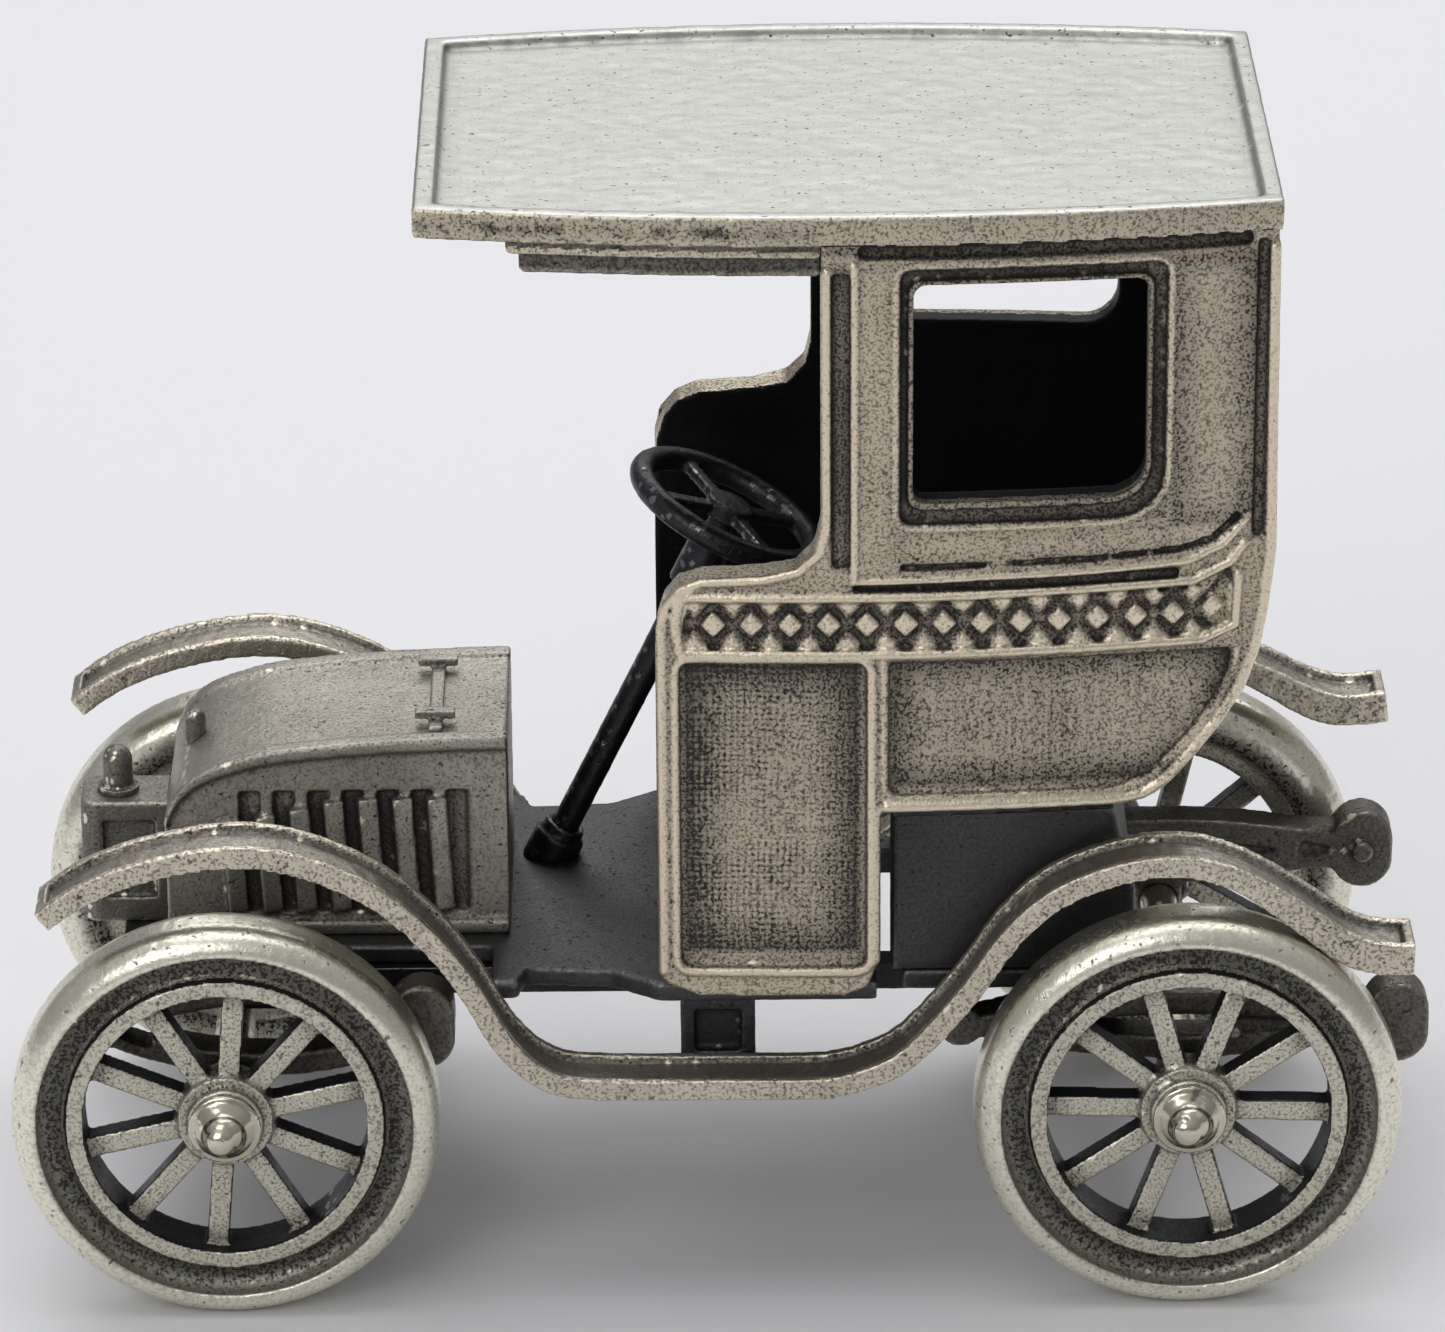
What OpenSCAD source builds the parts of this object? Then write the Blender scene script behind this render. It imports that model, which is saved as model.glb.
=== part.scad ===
// Cast white-metal miniature of an early town car: open driver's place, closed rear cabin, spoked wheels.
// Millimetres. +X is the front of the car, +Y its left side, +Z up. The origin is on the ground,
// midway along and across the model.

/* [Wheels and axles] */
// Outside radius of a wheel
wheel_r = 8.45; // [8.3:0.05:9]
// Position of the front axle
axle_front_x = 19.8; // [19.2:0.1:20.4]
// Position of the rear axle
axle_rear_x = -18.1; // [-18.6:0.1:-17.6]
// Distance of a wheel's middle plane from the middle of the car
wheel_y = 11.1; // [11:0.05:11.4]
// Radius of the axle wire
axle_r = 0.8; // [0.6:0.05:0.9]
// Running clearance of the wheel bore, radial
bore_gap = 0.05; // [0.03:0.01:0.1]
// Number of spokes
spokes = 10; // [8:1:12]
// Width of a spoke
spoke_w = 0.85; // [0.6:0.05:1]

/* [Body] */
// Height of the roof's upper edge
roof_top = 45.8; // [45:0.1:48]
// Front end of the roof
roof_front = 11.7; // [10:0.1:13]
// Rear end of the roof
roof_rear = -20.9; // [-21.4:0.1:-20.8]
// Half width of the roof where it is widest
roof_half = 11.3; // [11.1:0.1:12]
// Half width of the cab's outer face where it is widest
cab_half = 10.5; // [10.3:0.05:10.8]
// Radius of the bowed sides, seen from above
bow_r = 93; // [85:1:120]
// Wall thickness of a side panel
panel_t = 1.3; // [1.1:0.1:1.6]
// Depth of the cast relief
relief = 0.28; // [0.15:0.01:0.4]

/* [Hood] */
// Half width of the hood
hood_half = 4.3; // [3.8:0.1:4.6]
// Rear end of the hood
hood_rear = 8.6; // [8.2:0.1:9]
// Number of louvres on each side
louvres = 7; // [4:1:9]

/* [Fenders] */
// Inner edge of a fender, from the middle of the car
fender_in = 8.95; // [8.95:0.05:9.1]
// Outer edge of a fender
fender_out = 11.55; // [11:0.05:12]
// Thickness of a fender with its lip
fender_t = 0.9; // [0.7:0.05:1.1]

/* [Steering] */
// Lean of the steering column toward the rear, degrees
column_lean = 25.9; // [24:0.1:28]
// Distance of the column from the middle of the car
column_y = -3; // [-3.6:0.1:0]
// Radius of the steering wheel
steer_r = 4.3; // [3.5:0.05:4.5]

/* [Hidden] */
$fn = 64;
bow_x = -4.6;               // where the bowed sides are widest
pan_z0 = 12.15;             // underside of the floor plate
pan_z1 = 12.95;             // upper side of the floor plate
rail_in = 4.8; rail_out = 6.0; rail_z0 = 11.0;
roof_z0 = roof_top - 1.2;   // underside of the roof
seam_x = -3.7;              // where the canopy meets the cab
cab_front = 2.7;
cab_rear = -21.1;
sill_z = 20.9;              // lower edge of the rear quarter
shelf_z0 = 20.05;
spring_in = 7.3; spring_out = 8.9;
leaf_t = 0.5;
front_spring_x = 18.3; front_spring_l = 7.5; front_spring_z = 10.9; front_spring_h = 2.05;
rear_spring_x = axle_rear_x; rear_spring_l = 9.7; rear_spring_z = 10.7; rear_spring_h = 1.45;
tyre_a = 1.1; tyre_flat = 0.4;      // round of the tyre's section, and half its flat part
box_rear = -16.2;                   // rear end of the frame and of the box; behind it is open
hub_r = 1.9; hub_out = 1.15; hub_in = 1.35;
head_gap = 0.1;
foot = [7.1, column_y, pan_z1];    // where the column stands on the floor
body_lift = wheel_r - 8.4;         // heights below are given for a wheel of 8.4 mm radius
clamp_z = wheel_r - body_lift;     // height of the axle in those terms
tail_lift = 1.7;                   // the right fender's tail is cast a little higher
gap_x = -6.45;                     // front edge of the rear platform, behind a see-through gap
boss_h = 1.5;
column_len = 16.4;

// ---------- helpers ----------
// Everything carried by the springs rises with the wheels.
module raised() translate([0, 0, body_lift]) children();
// A straight bar between two corners.
module bar(a, b) { translate(a) cube(b - a); }
// Draws an X-Z outline as a slab from y0 to y1.
module slab(y0, y1) { translate([0, y1, 0]) rotate([90, 0, 0]) linear_extrude(y1 - y0) children(); }
// The inside of the bowed plan outline whose half width is h at its widest.
module bowed(h, z0, z1) {
    intersection() {
        translate([bow_x, h - bow_r, z0]) cylinder(r = bow_r, h = z1 - z0, $fn = 180);
        translate([bow_x, bow_r - h, z0]) cylinder(r = bow_r, h = z1 - z0, $fn = 180);
        bar([roof_rear - 2, -14, z0], [roof_front + 2, 14, z1]);
    }
}
// Smooth curve through control points.
function spline_at(p, i, t) =
    let (a = p[max(i - 1, 0)], b = p[i], c = p[i + 1], d = p[min(i + 2, len(p) - 1)])
    0.5 * (2 * b + (c - a) * t + (2 * a - 5 * b + 4 * c - d) * t * t + (3 * b - a - 3 * c + d) * t * t * t);
function spline(p, n) = concat([for (i = [0:len(p) - 2]) for (k = [0:n - 1]) spline_at(p, i, k / n)],
                               [p[len(p) - 1]]);
// The same curve moved by d to its lower side (curves here run from front to rear).
function below(c, d) = [for (i = [0:len(c) - 1])
    let (v = c[min(i + 1, len(c) - 1)] - c[max(i - 1, 0)], l = norm(v)) c[i] + d * [-v[1], v[0]] / l];
function turned(c) = [for (i = [len(c) - 1:-1:0]) c[i]];
function part_of(c, n) = [for (i = [n:len(c) - 1 - n]) c[i]];

// ---------- chassis ----------
module plate(half) translate([0, 0, pan_z0]) linear_extrude(pan_z1 - pan_z0)
    polygon(concat(half, turned([for (p = half) [p[0], -p[1]]])));
module floor_pan() raised() color("#55585a") plate([[22.3, 5.6], [9.3, 5.6], [9.3, fender_in],
    [8.3, fender_in], [7.9, 7.7], [4.6, 8.0], [2.7, 9.3], [-5.9, 9.3]]);
module rear_platform() raised() color("#55585a") plate([[gap_x - 0.5, 8.3], [box_rear, 8.3]]);
module chassis_rail(s) scale1(s) bar([box_rear, rail_in, rail_z0], [24.2, rail_out, pan_z0]);
module scale1(s) { if (s > 0) children(); else mirror([0, 1, 0]) children(); }
module chassis_rail_left() raised() color("#4a4c4e") chassis_rail(1);
module chassis_rail_right() raised() color("#4a4c4e") chassis_rail(-1);
module crossbar_front() raised() color("#4a4c4e")
    bar([22.4, -rail_in, rail_z0], [24.2, rail_in, pan_z0]);
module crossbar_rear() raised() color("#4a4c4e")
    bar([box_rear, -rail_in, rail_z0], [box_rear + 1.6, rail_in, pan_z0]);

// ---------- hood and nose ----------
function hood_top() = spline([[hood_rear, 21.55], [11.3, 21.5], [14.4, 21.35], [17.6, 21.05],
    [19.2, 20.7], [20.8, 20.1], [21.8, 19.2], [22.3, 18.0]], 4);
module hood_outline(drop) polygon(concat([[22.3, pan_z1], [hood_rear, pan_z1]],
    [for (p = hood_top()) [p[0], p[1] - drop]]));
module hood() raised() color("#8b8a84") difference() {
    union() {
        slab(-hood_half + 0.5, hood_half - 0.5) hood_outline(0.15);
        for (s = [-1, 1]) scale1(s) slab(hood_half - 0.5, hood_half) hood_outline(0);
        for (s = [-1, 1]) scale1(s) hood_side_frame();
    }
    for (s = [-1, 1]) scale1(s) for (i = [0:louvres - 1])
        translate([10.0 + 9.6 * (i + 0.5) / louvres, hood_half, 13.9])
            rotate([0, 0, -14]) translate([-0.42, -0.3, 0]) cube([0.84, 1, 5.3]);
}
module hood_side_frame() {
    slab(hood_half, hood_half + 0.3) difference() {
        hood_outline(0);
        hood_outline(0.55);
    }
    bar([hood_rear, hood_half, pan_z1], [22.3, hood_half + 0.3, pan_z1 + 0.6]);
}
module hood_strap() raised() color("#8f8e88") {
    bar([11.2, -3.7, 21.36], [11.75, 3.7, 21.62]);
    for (s = [-1, 1]) bar([10.7, s * 2.6 - 0.28, 21.62], [12.3, s * 2.6 + 0.28, 21.95]);
}
module radiator_tank() raised() color("#6a6863") difference() {
    union() {
        bar([22.3, -1.4, pan_z0], [25.2, 1.4, 17.4]);
        bar([25.2, -0.7, pan_z0], [25.9, 0.7, 17.4]);
        for (s = [-1, 1]) translate([25.2, 0.7 * s, pan_z0]) cylinder(r = 0.7, h = 17.4 - pan_z0);
    }
    bar([22.9, -2, 13.2], [25.0, -1.15, 16.6]);
    bar([22.9, 1.15, 13.2], [25.0, 2, 16.6]);
}
module filler_cap() raised() color("#8f8e88") translate([24.4, 0, 17.4]) rotate_extrude() union() {
    square([0.6, 1.35]);
    translate([0, 1.35]) intersection() { circle(r = 0.6); square([1, 1]); }
    square([0.85, 0.25]);
}
module nose_knob() raised() color("#8f8e88") difference() {
    translate([21.2, 0, 19.0]) rotate_extrude() union() {
        square([0.42, 1.5]);
        translate([0, 1.5]) intersection() { circle(r = 0.42); square([1, 1]); }
    }
    slab(-3, 3) hood_outline(0.15);
}

// ---------- cab ----------
function rear_curve() = spline([[cab_rear, roof_z0], [cab_rear - 0.05, 37], [cab_rear - 0.1, 31.3],
    [-20.9, 28.6], [-20.6, 27.0], [-20.1, 25.5], [-19.3, 24.1], [-18.2, 22.7], [-17.2, 21.6],
    [-16.3, 21.05], [-15.2, sill_z]], 3);
module cab_outline() polygon(concat(
    [[seam_x, roof_z0], [seam_x, 33.0], [-3.45, 31.9], [-2.7, 31.1], [-1.4, 30.9], [0.9, 30.75],
     [1.75, 30.45], [2.3, 29.8], [2.6, 28.8], [cab_front, 27.5], [cab_front, 13.9], [2.3, 13.4],
     [1.1, pan_z1], [-4.6, pan_z1], [-5.5, 13.3], [-5.85, 14.2], [-6.0, sill_z]],
    turned(rear_curve())));
module round_box(x0, z0, x1, z1, r) {
    translate([x0 + r, z0]) square([x1 - x0 - 2 * r, z1 - z0]);
    translate([x0, z0 + r]) square([x1 - x0, z1 - z0 - 2 * r]);
    for (x = [x0 + r, x1 - r]) for (z = [z0 + r, z1 - r]) translate([x, z]) circle(r = r, $fn = 32);
}
// Window shape: small corners, with a wide lower rear one.
module window_outline(x0, z0, x1, z1, r, rw) {
    difference() {
        round_box(x0, z0, x1, z1, r);
        translate([x0 - 1, z0 - 1]) square([1 + rw, 1 + rw]);
    }
    translate([x0 + rw, z0 + rw]) circle(r = rw, $fn = 48);
}
// Outline of the recess behind the door, which follows the rear curve.
module quarter_outline() polygon([[-6.3, 27.2], [-6.3, 21.9], [-6.5, 21.6], [-15.1, 21.6],
    [-16.5, 22.2], [-17.9, 23.7], [-18.9, 25.1], [-19.4, 26.2], [-19.6, 27.2]]);
// Outline of the lattice band.
module band_outline(m) polygon([[1.5 - m, 29.8 - m], [-18.0, 29.95 - m], [-19.5 + m, 30.8 - m],
    [-19.7 + m, 28.3 + m], [-18.4, 27.75 + m], [-8.6, 27.65 + m], [1.7 - m, 27.7 + m]]);
module lattice() {
    intersection() {
        slab(7, 13) band_outline(0.2);
        union() for (i = [-1:13]) translate([1.2 - i * 1.48, 0, 28.8]) for (a = [-42, 42])
            rotate([0, a, 0]) bar([-0.14, 7, -2.4], [0.14, 13, 2.4]);
    }
}
module cab_side() {
    difference() {
        intersection() {
            slab(6, 12) cab_outline();
            difference() {
                translate([bow_x, cab_half - bow_r, 0]) cylinder(r = bow_r, h = 60, $fn = 180);
                translate([bow_x, cab_half - bow_r, 0]) cylinder(r = bow_r - panel_t, h = 60, $fn = 180);
            }
        }
        slab(6, 13) window_outline(-16.15, 33.8, -7.2, 42.7, 0.5, 1.4);
        difference() {
            union() {
                difference() {
                    slab(7, 13) window_outline(-17.0, 32.8, -6.55, 43.5, 0.6, 2.0);
                    slab(7, 13) window_outline(-16.35, 33.55, -7.0, 42.9, 0.5, 1.6);
                }
                slab(7, 13) band_outline(0);
                slab(7, 13) round_box(-5.45, 14.2, 1.8, 27.2, 0.4);
                slab(7, 13) quarter_outline();
                slab(7, 13) polygon([[-6.7, 31.25], [-14.4, 31.4], [-17.5, 31.6], [-18.7, 31.95],
                    [-19.7, 32.9], [-19.9, 32.7], [-18.8, 31.7], [-17.5, 31.35], [-14.4, 31.15],
                    [-6.7, 31.0]]);
                slab(7, 13) bar2([-4.85, 31.2], [-4.1, 43.2]);
                slab(7, 13) bar2([-20.1, 43.8], [-5.1, 44.3]);
                slab(7, 13) bar2([-17.5, 30.2], [-4.9, 30.7]);
                slab(7, 13) bar2([-20.75, 31.8], [-20.3, roof_z0 - 0.6]);
            }
            translate([bow_x, cab_half - bow_r, 0]) cylinder(r = bow_r - relief, h = 60, $fn = 180);
        }
    }
    // raised lattice floor with its crossing grooves
    difference() {
        intersection() {
            slab(7, 13) band_outline(0.2);
            difference() {
                translate([bow_x, cab_half - bow_r, 0])
                    cylinder(r = bow_r - relief * 0.35, h = 60, $fn = 180);
                translate([bow_x, cab_half - bow_r, 0])
                    cylinder(r = bow_r - panel_t + 0.3, h = 60, $fn = 180);
            }
        }
        difference() {
            lattice();
            translate([bow_x, cab_half - bow_r, 0]) cylinder(r = bow_r - relief, h = 60, $fn = 180);
        }
    }
}
module bar2(a, b) translate(a) square(b - a);
module side_panel_left() raised() color("#a79f8a") cab_side();
module side_panel_right() raised() color("#a79f8a") mirror([0, 1, 0]) cab_side();
// The space between the two side panels.
module inside_cab(z0, z1) intersection_for (s = [-1, 1])
    translate([bow_x, s * (cab_half - bow_r), z0]) cylinder(r = bow_r - panel_t, h = z1 - z0, $fn = 180);
module rear_panel() raised() color("#8d8778") intersection() {
    slab(-12, 12) difference() {
        polygon(concat(rear_curve(), [[-15.2, roof_z0]]));
        polygon(concat([for (p = part_of(below(rear_curve(), 1.0), 0)) [p[0], p[1]]],
            [[-10, sill_z + 1.0], [-10, roof_z0 + 1], [cab_rear + 1, roof_z0 + 1]]));
    }
    inside_cab(sill_z, roof_z0);
}
module roof() raised() color("#9b9b95") difference() {
    intersection() {
        bowed(roof_half, roof_z0, roof_top);
        bar([roof_rear - 0.3, -14, 0], [roof_front, 14, 60]);
    }
    intersection() {
        bowed(roof_half - 0.75, roof_top - 0.35, roof_top + 1);
        bar([roof_rear + 0.45, -14, 0], [roof_front - 0.8, 14, 60]);
    }
}
module canopy_ceiling() raised() color("#77756d") {
    intersection() {
        bowed(cab_half, 44.0, roof_z0);
        bar([seam_x, -14, 0], [8.2, 14, 60]);
    }
    intersection() {
        bowed(cab_half - 0.3, 43.1, 44.0);
        bar([seam_x, -14, 0], [7.7, 14, 60]);
    }
}
module cabin_floor() raised() color("#4a4a4a") intersection() {
    inside_cab(shelf_z0, sill_z);
    bar([-15.2, -14, 0], [gap_x, 14, 60]);
}
module under_seat_box() raised() color("#4b4742") intersection() {
    slab(-8.3, 8.3) polygon([[-6, pan_z1], [-6, shelf_z0], [-15.2, shelf_z0], [-16.1, 16.5],
        [box_rear, pan_z1]]);
    translate([0, 0, pan_z1]) linear_extrude(10)
        polygon([[gap_x, 8.3], [gap_x - 0.5, -8.3], [-17, -8.3], [-17, 8.3]]);
}

// ---------- fenders ----------
function fender_line(lift) = [for (p = fender_base())
    let (f = max(0, -17 - p[0]) / 10) [p[0] - 0.35 * lift * f, p[1] + lift * f]];
// The underside of a fender: t below the line, and thicker toward the tail.
function fender_under(c) = [for (i = [0:len(c) - 1])
    let (v = c[min(i + 1, len(c) - 1)] - c[max(i - 1, 0)], l = norm(v),
        t = fender_t + 0.45 * min(1, max(0, -20 - c[i][0]) / 5)) c[i] + t * [-v[1], v[0]] / l];
function fender_base() = spline([[27.0, 17.3], [25.3, 18.5], [22.8, 19.5], [19.4, 20.1], [16.6, 19.7],
    [13.5, 18.25], [11.2, 16.1], [9.6, 13.8], [8.4, 11.6], [6.9, 10.2], [4.9, 9.85], [0, 9.8],
    [-3.6, 9.8], [-5.3, 10.2], [-6.9, 11.1], [-9.1, 13.7], [-10.7, 16.1], [-12.6, 17.9],
    [-15.2, 19.0], [-17.8, 19.3], [-20.2, 18.6], [-22.5, 17.2], [-24.2, 16.0], [-25.4, 15.5],
    [-26.9, 15.4]], 3);
module fender(s, lift) scale1(s) difference() {
    slab(fender_in, fender_out)
        polygon(concat(fender_line(lift), turned(fender_under(fender_line(lift)))));
    slab(fender_in + 0.4, fender_out - 0.4)
        polygon(concat(below(part_of(fender_line(lift), 1), -0.4),
            turned(below(part_of(fender_line(lift), 1), 0.3))));
}
module fender_left() raised() color("#7d7971") fender(1, 0);
module fender_right() raised() color("#7d7971") fender(-1, tail_lift);
module board_brackets() raised() color("#4f4d49") for (s = [-1, 1]) scale1(s) difference() {
    bar([-1.1, 8.1, 9.0], [1.85, fender_in, pan_z0]);
    bar([-0.55, 8.55, 9.8], [1.3, fender_in + 1, 11.6]);
}

// ---------- springs and axles ----------
// One elliptic spring: two bowed leaf packs joined at round ends, over a clamp on the axle.
module leaf2d(l, h, t) {
    r = (l * l + h * h) / (2 * h);
    intersection() {
        translate([0, h - r]) difference() { circle(r = r, $fn = 180); circle(r = r - t, $fn = 180); }
        translate([-l, 0]) square([2 * l, h + 1]);
    }
}
// The tall rounded end of a spring: r round, and half high to each side of the middle.
module spring_end(x, r, half) translate([x, 0]) {
    for (m = [0, 1]) mirror([0, m]) translate([0, half - r]) circle(r = r, $fn = 32);
    translate([-r, r - half]) square([2 * r, 2 * (half - r)]);
}
module spring2d(l, h) {
    for (m = [0, 1]) mirror([0, m]) {
        leaf2d(l, h, leaf_t);
        intersection() {
            translate([0, -leaf_t + 0.02]) leaf2d(l, h, leaf_t);
            translate([-l * 0.6, 0]) square([l * 1.2, h + 1]);
        }
    }
}
// front and rear give each end's roundness and half height.
module spring(s, x, l, ax, z, h, front, rear) scale1(s) difference() {
    union() {
        translate([x, 0, z]) slab(spring_in, spring_out) {
            spring2d(l, h);
            spring_end(l - front[0], front[0], front[1]);
            spring_end(rear[0] - l, rear[0], rear[1]);
        }
        for (e = [l - front[0], rear[0] - l])
            translate([x + e, spring_in - 0.35, z]) rotate([-90, 0, 0])
                cylinder(r = 0.45, h = spring_out - spring_in + 0.35);
        bar([ax - 1.0, spring_in + 0.1, clamp_z - 1.2], [ax + 1.0, spring_out, z - h + 0.35]);
    }
    translate([ax, spring_in - 1, clamp_z]) rotate([-90, 0, 0]) cylinder(r = axle_r, h = 4);
}
module front_spring(s) spring(s, front_spring_x, front_spring_l, axle_front_x,
    front_spring_z, front_spring_h, [0.85, 0.85], [1.25, 1.8]);
module rear_spring(s) spring(s, rear_spring_x, rear_spring_l, axle_rear_x,
    rear_spring_z, rear_spring_h, [0.85, 0.85], [1.25, 1.7]);
module spring_front_left() raised() color("#3f4042") front_spring(1);
module spring_front_right() raised() color("#3f4042") front_spring(-1);
module spring_rear_left() raised() color("#3f4042") rear_spring(1);
module spring_rear_right() raised() color("#3f4042") rear_spring(-1);
// Blocks that join the rails to the springs; the rear ones sit on the bowed top leaf.
module spring_hangers() raised() color("#4a4c4e") for (s = [-1, 1]) scale1(s) {
    bar([front_spring_x - 1, rail_out, pan_z1], [front_spring_x + 1, spring_out, pan_z1 + 0.8]);
    bar([front_spring_x - 1, rail_out, rail_z0], [front_spring_x + 1, spring_in - 0.05, pan_z1 + 0.8]);
    difference() {
        bar([box_rear, rail_out, rail_z0], [box_rear + 2, spring_out - 0.6, pan_z0]);
        leaf_r = (rear_spring_l * rear_spring_l + rear_spring_h * rear_spring_h) / (2 * rear_spring_h);
        translate([rear_spring_x, spring_in, rear_spring_z + rear_spring_h - leaf_r])
            rotate([-90, 0, 0]) cylinder(r = leaf_r, h = 4, $fn = 180);
    }
}
module axle(x) {
    head = wheel_y + hub_out + head_gap;
    translate([x, 0, wheel_r]) rotate([-90, 0, 0]) {
        translate([0, 0, -head]) cylinder(r = axle_r, h = 2 * head, $fn = 48);
        for (m = [0, 1]) mirror([0, 0, m]) translate([0, 0, head]) rotate_extrude($fn = 48) union() {
            square([1.45, 0.3]);
            intersection() { translate([0, -0.75]) circle(r = 1.63); square([1.45, 2]); }
        }
    }
}
module axle_front() color("#b0ad9f") axle(axle_front_x);
module axle_rear() color("#b0ad9f") axle(axle_rear_x);
module axle_washers() color("#8a887f") for (x = [axle_front_x, axle_rear_x]) for (s = [-1, 1])
    scale1(s) translate([x, spring_out, wheel_r]) rotate([-90, 0, 0]) difference() {
        cylinder(r = 1.3, h = wheel_y - hub_in - head_gap - spring_out, $fn = 48);
        translate([0, 0, -1]) cylinder(r = axle_r, h = 4, $fn = 48);
    }

// ---------- wheels ----------
module wheel_section() {
    for (y = [-tyre_flat, tyre_flat]) translate([wheel_r - tyre_a, y]) circle(r = tyre_a, $fn = 48);
    translate([wheel_r - 2 * tyre_a, -tyre_flat]) square([2 * tyre_a, 2 * tyre_flat]);
    translate([5.6, -0.95]) square([1.3, 1.9]);
    translate([5.6, 0]) square([0.72, 1.2]);
    translate([axle_r + bore_gap, -hub_in]) square([hub_r - 0.4 - axle_r - bore_gap, hub_in + hub_out]);
    translate([axle_r + bore_gap, -0.7]) square([hub_r - axle_r - bore_gap, 1.5]);
}
module wheel(x, s, phase) scale1(s) translate([x, wheel_y, wheel_r]) rotate([-90, 0, 0]) {
    difference() {
        rotate_extrude($fn = 96) wheel_section();
        // hollow between the rim and the tyre
        rotate_extrude($fn = 96) translate([6.85, 1.2]) circle(r = 0.58, $fn = 32);
    }
    for (i = [0:spokes - 1]) rotate([0, 0, phase + i * 360 / spokes])
        translate([hub_r - 0.3, -spoke_w / 2, -0.45]) cube([5.9 - hub_r + 0.3, spoke_w, 1.0]);
}
module wheel_front_left() color("#c4c1ae") wheel(axle_front_x, 1, 13);
module wheel_front_right() color("#c4c1ae") wheel(axle_front_x, -1, 20);
module wheel_rear_left() color("#c4c1ae") wheel(axle_rear_x, 1, -2);
module wheel_rear_right() color("#c4c1ae") wheel(axle_rear_x, -1, 5);

// ---------- steering ----------
module along_column() translate(foot) rotate([0, -column_lean, 0]) children();
module column_boss() raised() color("#3c3c3e") difference() {
    intersection() {
        along_column() union() {
            translate([0, 0, -2]) cylinder(r = 1.05, h = 2 + boss_h - 0.5);
            translate([0, 0, -2]) cylinder(r = 0.85, h = 2 + boss_h);
        }
        bar([0, -5, pan_z1], [14, 5, 30]);
    }
    along_column() translate([0, 0, 0.7]) cylinder(r = 0.57, h = 5);
}
module steering_wheel() raised() color("#38383a") along_column() {
    translate([0, 0, 0.7]) cylinder(r = 0.57, h = column_len - 0.3);
    translate([0, 0, column_len - 3.2]) cylinder(r = 0.9, h = 2.2);
    translate([0, 0, column_len + 0.1]) cylinder(r = 1.0, h = 0.7);
    translate([0, 0, column_len + 0.4]) rotate_extrude($fn = 72)
        translate([steer_r - 0.5, 0]) circle(r = 0.5, $fn = 24);
    for (i = [0:3]) rotate([0, 0, 30 + i * 90])
        translate([0, -0.3, column_len + 0.2]) cube([steer_r - 0.5, 0.6, 0.4]);
}

floor_pan();
rear_platform();
chassis_rail_left();
chassis_rail_right();
crossbar_front();
crossbar_rear();
hood();
hood_strap();
radiator_tank();
filler_cap();
nose_knob();
side_panel_left();
side_panel_right();
rear_panel();
roof();
canopy_ceiling();
cabin_floor();
under_seat_box();
fender_left();
fender_right();
board_brackets();
spring_front_left();
spring_front_right();
spring_rear_left();
spring_rear_right();
spring_hangers();
axle_front();
axle_rear();
axle_washers();
wheel_front_left();
wheel_front_right();
wheel_rear_left();
wheel_rear_right();
column_boss();
steering_wheel();
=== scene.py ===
import math

import bmesh
import bpy
from mathutils import Matrix, Vector


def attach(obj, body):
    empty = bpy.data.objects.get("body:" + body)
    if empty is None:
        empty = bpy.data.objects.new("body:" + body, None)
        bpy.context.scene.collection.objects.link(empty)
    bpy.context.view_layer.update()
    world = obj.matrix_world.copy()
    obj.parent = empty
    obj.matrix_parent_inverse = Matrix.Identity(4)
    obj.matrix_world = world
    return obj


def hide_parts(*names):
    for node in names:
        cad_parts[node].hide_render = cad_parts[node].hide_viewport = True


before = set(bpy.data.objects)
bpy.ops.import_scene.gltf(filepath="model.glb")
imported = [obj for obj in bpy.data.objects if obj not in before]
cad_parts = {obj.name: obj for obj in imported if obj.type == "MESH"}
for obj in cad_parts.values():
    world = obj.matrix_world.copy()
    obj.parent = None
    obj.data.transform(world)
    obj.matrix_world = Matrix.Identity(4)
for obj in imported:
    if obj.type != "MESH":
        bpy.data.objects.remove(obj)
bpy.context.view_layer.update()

MM = 0.001

# ---- the car's own sizes, in millimetres, as in the frame ----
WHEEL_R = 8.45
BODY_LIFT = WHEEL_R - 8.4    # the relief heights below are for a wheel of 8.4
WHEEL_Y = 11.1
AXLE_X = {"front": 19.8, "rear": -18.1}
BOW_R = 93.0
BOW_X = -4.6
CAB_HALF = 10.5
ROOF_HALF = 11.3
HOOD_HALF = 4.3
LOUVRES = 7
LOUVRE_START = 10.0
LOUVRE_RUN = 9.6             # length of the row of louvres
TYRE_INSIDE = 6.45          # where the tyre meets the rim
HUB_R = 2.05                # outside this the spokes stand free
SEAM_X = -3.7               # where the canopy meets the cab
CORNICE_STEP = 44.0         # height where the cornice steps in
FENDER_LIPS = (9.37, 11.12)  # edges of the channel between a fender's lips


# ================= materials =================
def node(tree, kind, **values):
    """Adds a shader node and sets its properties and inputs by name."""
    n = tree.nodes.new(kind)
    for key, value in values.items():
        if key in n.inputs.keys():
            n.inputs[key].default_value = value
        else:
            setattr(n, key, value)
    return n


def ramp(tree, source, stops):
    """A colour ramp on source, with stops as (position, grey or colour)."""
    r = node(tree, "ShaderNodeValToRGB")
    elements = r.color_ramp.elements
    while len(elements) < len(stops):
        elements.new(0.5)
    for e, (position, colour) in zip(elements, stops):
        e.position = position
        grey = not hasattr(colour, "__len__")
        e.color = (colour,) * 3 + (1,) if grey else tuple(colour) + (1,)
    tree.links.new(source, r.inputs["Fac"])
    return r.outputs["Color"]


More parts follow.
